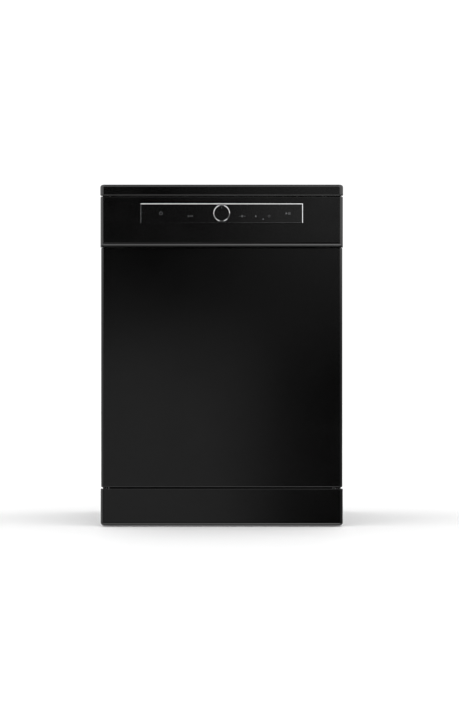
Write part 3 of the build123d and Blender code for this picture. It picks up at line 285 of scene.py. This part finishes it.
DEEP_BLACK = 0.0021
LOOKS = {
    "black_enamel": enamel("black_enamel", DEEP_BLACK),
    "black_plastic": moulded(
        "black_plastic", DEEP_BLACK, (0.1, 0.17), 1500, 0.000012, Coat_Weight=0.3, Coat_Roughness=0.08
    ),
    "black_gloss": gloss("black_gloss", 0.0035),
    "board": laminate("board", 0.0085),
    "stainless": brushed("stainless", (0.55, 0.545, 0.53), (1, 1, 26)),
    "galvanised": galvanised("galvanised"),
    "chrome": polished("chrome", (0.78, 0.78, 0.79)),
    "screw_steel": polished("screw_steel", (0.55, 0.56, 0.58), (0.2, 0.36)),
    "seal_rubber": rubber("seal_rubber", 0.018),
    "grey_plastic": moulded("grey_plastic", (0.19, 0.2, 0.215), (0.42, 0.56)),
    "light_plastic": moulded("light_plastic", (0.52, 0.535, 0.545), (0.36, 0.5)),
    "blue_plastic": moulded("blue_plastic", (0.02, 0.1, 0.34), (0.28, 0.4), 1200),
    "rack_wire": coated_wire("rack_wire", (0.2, 0.215, 0.235)),
    "board_green": circuit_board("board_green"),
    "white_plastic": moulded("white_plastic", (0.68, 0.68, 0.66), (0.4, 0.55)),
}
PRINT = moulded("print_grey", (0.1, 0.102, 0.106), (0.5, 0.62), 2500, 0.00001)
PRINT_DARK = moulded("print_dark", (0.05, 0.052, 0.056), (0.5, 0.62), 2500, 0.00001)
LAMP = Look("lamp", Emission_Strength=0.4, Emission_Color=(0.35, 0.36, 0.4))
LAMP.colours(LAMP.noise(400, 3), shade((0.3, 0.31, 0.33), 0.1))
LAMP.rough(LAMP.noise(200, 3), 0.2, 0.35)

slot_of = {entry["node"]: entry["material_slot"] for entry in frame["record"]["subparts"]}
for name, node in nodes.items():
    node.data.materials.clear()
    node.data.materials.append(LOOKS[slot_of[name]])


# ---- Mesh helpers ---------------------------------------------------------------------------
def piece(name, mesh_maker, material, body):
    """One new mesh that rides on a body and takes a slot's finish."""
    mesh = bpy.data.meshes.new(name)
    work = bmesh.new()
    mesh_maker(work)
    bmesh.ops.recalc_face_normals(work, faces=work.faces)
    work.to_mesh(mesh)
    work.free()
    made = bpy.data.objects.new(name, mesh)
    scene.collection.objects.link(made)
    mesh.materials.append(material)
    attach(made, body)
    return made


def prism(work, outline, back_y, depth):
    """A closed plate that faces the front: outline points are (x, z) in millimetres, depth is in metres."""
    back = [work.verts.new((x * MM, back_y, z * MM)) for x, z in outline]
    front = [work.verts.new((x * MM, back_y - depth, z * MM)) for x, z in outline]
    work.faces.new(back)
    work.faces.new(front[::-1])
    count = len(outline)
    for k in range(count):
        work.faces.new((back[k], front[k], front[(k + 1) % count], back[(k + 1) % count]))


def arc_points(x, z, radius, start, end, count):
    """Points on a circle from one angle to another, in degrees, 0 along +X and 90 along +Z."""
    angles = [math.radians(start + (end - start) * k / (count - 1)) for k in range(count)]
    return [(x + radius * math.cos(a), z + radius * math.sin(a)) for a in angles]


def band(x, z, inner, outer, start, end, count=28):
    """The outline of a ring sector."""
    return arc_points(x, z, outer, start, end, count) + arc_points(x, z, inner, end, start, count)


def bar(x, z, width, height):
    return [
        (x - width / 2, z - height / 2),
        (x + width / 2, z - height / 2),
        (x + width / 2, z + height / 2),
        (x - width / 2, z + height / 2),
    ]


def disc(x, z, radius, count=32):
    return arc_points(x, z, radius, 0, 360 * (1 - 1 / count), count)


def plates(name, outlines, y, depth, material, body):
    """Several plates of one depth on a face at y."""
    def make(work):
        for outline in outlines:
            prism(work, outline, y, depth)
    return piece(name, make, material, body)


FILM = 0.06 * MM


def printed(name, outlines, y, material, body):
    """Thin raised print on a face at y."""
    return plates(name, outlines, y, FILM, material, body)


# ---- Pictograms on the control strip --------------------------------------------------------
def whole_microns(length):
    """A length in metres as millimetres, without the rounding noise of the mesh."""
    return round(length / MM, 3)


def middle(node):
    """The x and z of a node's middle, in millimetres."""
    low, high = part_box(node)
    return whole_microns((low.x + high.x) / 2), whole_microns((low.z + high.z) / 2)


STRIP_Z = middle("control_window")[1]
LEGEND_Z = STRIP_Z - 6.8
power_x, rapid_x, options_x, auto_x, delay_x, start_x = (
    middle(key)[0] for key in ("key_power", "key_rapid", "key_options", "key_auto", "key_delay", "key_start")
)
strip_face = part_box("control_window")[0].y
key_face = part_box("key_power")[0].y
printed(
    "icon_power",
    [band(power_x, STRIP_Z, 3.3, 4.1, 120, 420), bar(power_x, STRIP_Z + 3.4, 0.9, 4.4)],
    key_face, PRINT, "key_power",
)
rapid = []
for k in range(3):
    x = rapid_x - 5 + 4.6 * k
    rapid.append([
        (x, LEGEND_Z + 2.2), (x + 1.1, LEGEND_Z + 2.2), (x + 3.6, LEGEND_Z),
        (x + 1.1, LEGEND_Z - 2.2), (x, LEGEND_Z - 2.2), (x + 2.5, LEGEND_Z),
    ])
printed("icon_rapid", rapid, key_face, PRINT, "key_rapid")
printed(
    "icon_options",
    [band(options_x, LEGEND_Z, 2.1, 2.6, -90, 269), arc_points(options_x, LEGEND_Z, 2.2, 90, 270, 18)]
    + [bar(options_x + side * 5.6, LEGEND_Z, 3.4, 0.7) for side in (-1, 1)],
    key_face, PRINT, "key_options",
)
drop = arc_points(auto_x, LEGEND_Z - 0.7, 1.7, 150, 390, 20) + [(auto_x, LEGEND_Z + 3.0)]
printed("icon_auto", [drop], key_face, PRINT, "key_auto")
printed(
    "icon_delay",
    [
        band(delay_x, LEGEND_Z, 2.4, 2.9, 0, 359),
        bar(delay_x, LEGEND_Z + 0.9, 0.55, 1.9),
        bar(delay_x + 0.8, LEGEND_Z, 1.7, 0.55),
    ],
    key_face, PRINT, "key_delay",
)
printed(
    "icon_start",
    [
        [(start_x - 5.4, STRIP_Z + 3.2), (start_x - 0.2, STRIP_Z), (start_x - 5.4, STRIP_Z - 3.2)],
        bar(start_x + 2.2, STRIP_Z, 1.5, 6.2),
        bar(start_x + 5.2, STRIP_Z, 1.5, 6.2),
    ],
    key_face, PRINT, "key_start",
)
printed("indicator_lamps", [disc(102, STRIP_Z - 14, 0.8)], strip_face, LAMP.material, "door")
printed(
    "knob_scale",
    [band(0, STRIP_Z, 21.6, 22.5, angle - 1.6, angle + 1.6, 6) for angle in range(-60, 241, 30)],
    strip_face, PRINT_DARK, "door",
)
knob_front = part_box("programme_knob")[0].y
printed("knob_marker", [bar(0, STRIP_Z + 13.6, 0.9, 4.6)], knob_front, PRINT_DARK, "programme_knob")

# ---- Plastic tips on the tines ------------------------------------------------------------------
TINE_PITCH = 38
TINE_YS = [-168 + TINE_PITCH * k for k in range(10)]
OUTER_TINE_X = 200
SECOND_TINE_X = 142.86


def lathe(work, profile, x, y, count=14):
    """A turned shape on a vertical axis: profile points are (radius, z) from the top down, in millimetres."""
    rings = []
    for radius, z in profile:
        rings.append([
            work.verts.new((px * MM, pz * MM, z * MM)) for px, pz in disc(x, y, radius, count)
        ])
    work.faces.new(rings[0])
    for above, below in zip(rings, rings[1:]):
        for k in range(count):
            work.faces.new((above[k], below[k], below[(k + 1) % count], above[(k + 1) % count]))
    work.faces.new(rings[-1][::-1])


def tine_tips(name, places, top_z, body):
    """Rounded caps over the upper ends of upright wires."""
    profile = [
        (0.7, top_z + 1.2),
        (1.8, top_z + 0.7),
        (2.5, top_z - 0.6),
        (2.6, top_z - 5.2),
        (2.2, top_z - 5.8),
    ]

    def make(work):
        for x, y in places:
            lathe(work, profile, x, y)
    return piece(name, make, LOOKS["grey_plastic"], body)


folding_x = middle("folding_tines")[0]
tine_tips(
    "lower_tine_tips",
    [(x, y) for x in (-OUTER_TINE_X, -SECOND_TINE_X) for y in TINE_YS],
    268.85, "lower_rack",
)
tine_tips(
    "folding_tine_tips",
    [(folding_x, y + TINE_PITCH / 2) for y in TINE_YS[:-1]],
    whole_microns(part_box("folding_tines")[1].z), "folding_tines",
)
tine_tips(
    "upper_tine_tips",
    [(x, y) for x in (-OUTER_TINE_X, OUTER_TINE_X) for y in TINE_YS],
    536.85, "upper_rack",
)


# ---- Rack grips, painted shade in the screw recesses and the dispenser's ribs ----------------------
GRIP_HEIGHT = 26
GRIP_DEPTH = 2.2 * MM
GRIP_PAD_DEPTH = 0.9 * MM
GRIP_BACK_Y = -204.6 * MM


def rounded_bar(x, z, half_length, radius, count):
    """A lying bar with round ends."""
    left = arc_points(x - half_length, z, radius, 90, 270, count)
    return left + arc_points(x + half_length, z, radius, -90, 90, count)


def grip(name, z, body):
    """A moulded grip clipped on the front wires: a long plate with round ends and two raised pads."""
    def make(work):
        prism(work, rounded_bar(0, z, 64, GRIP_HEIGHT / 2, 14), GRIP_BACK_Y, GRIP_DEPTH)
        for side in (-1, 1):
            pad = rounded_bar(side * 32, z, 22, GRIP_HEIGHT * 0.28, 10)
            prism(work, pad, GRIP_BACK_Y - GRIP_DEPTH, GRIP_PAD_DEPTH)
    return piece(name, make, LOOKS["grey_plastic"], body)


grip("lower_rack_grip", 270, "lower_rack")
grip("upper_rack_grip", 574, "upper_rack")


def star(x, z, radius):
    """The outline of a six-lobed screw recess, used as a mark of painted shade."""
    points = []
    for k in range(24):
        angle = math.radians(k * 15)
        reach = radius * (0.82 + 0.18 * math.cos(6 * angle))
        points.append((x + reach * math.cos(angle), z + reach * math.sin(angle)))
    return points


SCREW_X = 289
SCREW_ZS = (240, 400, 560, 700)
# Painted shade: thin dark stars on the door screws' heads stand in for the shade inside their six-lobed
# recesses.
plates(
    "door_screw_recess_painted_shade",
    [star(side * SCREW_X, z, 1.9) for side in (-1, 1) for z in SCREW_ZS],
    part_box("door_screws")[1].y, -FILM, LOOKS["seal_rubber"], "door",
)
RIB_DEPTH = 0.5 * MM
upright_ribs = [bar(x, 413, 3.0, 10.0) for x in range(-74, -10, 8)]
lying_ribs = [bar(50, 416 - 4 * k, 26 - 5 * k, 1.2) for k in range(3)]
plates(
    "dispenser_ribs",
    upright_ribs + lying_ribs,
    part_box("dispenser_body")[1].y, -RIB_DEPTH, LOOKS["grey_plastic"], "door",
)

# ---- Floor and light --------------------------------------------------------------------------
FLOOR_HALF = 14
floor_corners = [(x * FLOOR_HALF, y * FLOOR_HALF, 0) for x, y in ((-1, -1), (1, -1), (1, 1), (-1, 1))]
floor_mesh = bpy.data.meshes.new("floor")
floor_mesh.from_pydata(floor_corners, [], [(0, 1, 2, 3)])
floor = bpy.data.objects.new("floor", floor_mesh)
scene.collection.objects.link(floor)
floor_look = Look("floor", Specular_IOR_Level=0.2)
floor_look.colours(floor_look.noise(1.5, 3), shade((0.965, 0.965, 0.965), 0.008))
floor_look.rough(floor_look.noise(4, 3), 0.6, 0.7)
floor_mesh.materials.append(floor_look.material)

world = bpy.data.worlds.new("studio")
scene.world = world
world.use_nodes = True
tree = world.node_tree
link = tree.links.new


def arithmetic(operation, first, second):
    """One Math node; an input is a socket or a number."""
    made = tree.nodes.new("ShaderNodeMath")
    made.operation = operation
    for socket, value in zip(made.inputs, (first, second)):
        if isinstance(value, bpy.types.NodeSocket):
            link(value, socket)
        else:
            socket.default_value = value
    return made.outputs["Value"]


def times(first, second):
    return arithmetic("MULTIPLY", first, second)


def fade(value, start, end, low=0.0, high=1.0):
    """Smooth change from low at start to high at end."""
    made = tree.nodes.new("ShaderNodeMapRange")
    made.interpolation_type = "SMOOTHSTEP"
    for key, number in (("From Min", start), ("From Max", end), ("To Min", low), ("To Max", high)):
        made.inputs[key].default_value = number
    link(value, made.inputs["Value"])
    return made.outputs["Result"]


# One soft room, the same for every ray. Its end behind the machine, its walls and its ceiling are white,
# but for a dark patch straight above and straight below. The near end, where the camera stands, is dark:
# the white starts closer to its middle above and on the right. In the dark stand a dim panel low on the
# left and one high on the right, brighter towards its top. The walls are dimmer low down. The room's
# own floor is a little darker than they are, but for a bright strip along the middle of the near half.
WALL_STRENGTH = 1.5
FAR_END = 0.76  # of the walls' strength
LOW_PANEL = 0.34
HIGH_PANEL = 0.14
HIGH_PANEL_TOP = 0.18
split = tree.nodes.new("ShaderNodeSeparateXYZ")
link(tree.nodes.new("ShaderNodeTexCoord").outputs["Generated"], split.inputs["Vector"])
side, depth, rise = split.outputs["X"], split.outputs["Y"], split.outputs["Z"]
near = arithmetic("MAXIMUM", times(depth, -1.0), 0.05)
across = arithmetic("DIVIDE", side, near)
up = arithmetic("DIVIDE", rise, near)
aside = arithmetic("ABSOLUTE", side, 0.0)
steep = arithmetic("ABSOLUTE", rise, 0.0)
closer = arithmetic(
    "MAXIMUM",
    fade(arithmetic("ADD", side, rise), 0.15, 0.5, 0.0, 0.18),
    fade(arithmetic("MINIMUM", side, rise), -0.15, -0.45, 0.0, 0.1),
)
walls = fade(arithmetic("SUBTRACT", near, closer), 0.76, 0.66, 0.0, WALL_STRENGTH)
walls = times(walls, fade(depth, 0.0, 0.6, 1.0, FAR_END))
walls = times(walls, fade(steep, 0.93, 0.98, 1.0, 0.1))
strip = times(fade(aside, 0.35, 0.15), fade(side, -0.045, 0.05, 0.4, 1.0))
strip = times(strip, fade(near, 0.08, 0.3))
below = times(fade(rise, -0.1, -0.4), arithmetic("SUBTRACT", strip, 0.3))
walls = times(walls, arithmetic("ADD", 1.0, below))
sideways = fade(arithmetic("SUBTRACT", aside, steep), 0.0, 0.15)
low_down = times(fade(rise, 0.06, 0.01), fade(depth, 0.6, 0.3))
shortfall = times(low_down, fade(side, -0.1, 0.1, 0.45, 0.85))
dimmed = times(sideways, shortfall)
walls = times(walls, arithmetic("SUBTRACT", 1.0, dimmed))
low_left = times(fade(across, 0.034, -0.006, 0.0, LOW_PANEL), fade(up, 0.036, -0.014))
high_right = arithmetic(
    "ADD",
    fade(up, -0.012, 0.03, 0.0, HIGH_PANEL),
    fade(up, 0.044, 0.052, 0.0, HIGH_PANEL_TOP),
)
high_right = times(high_right, fade(across, -0.02, 0.04))
panels = times(arithmetic("ADD", low_left, high_right), fade(near, 0.9, 0.97))
link(arithmetic("ADD", walls, panels), tree.nodes["Background"].inputs["Strength"])
tree.nodes["Background"].inputs["Color"].default_value = (1, 1, 1, 1)
floor.visible_glossy = False  # the room below the horizon stands in for it in reflections
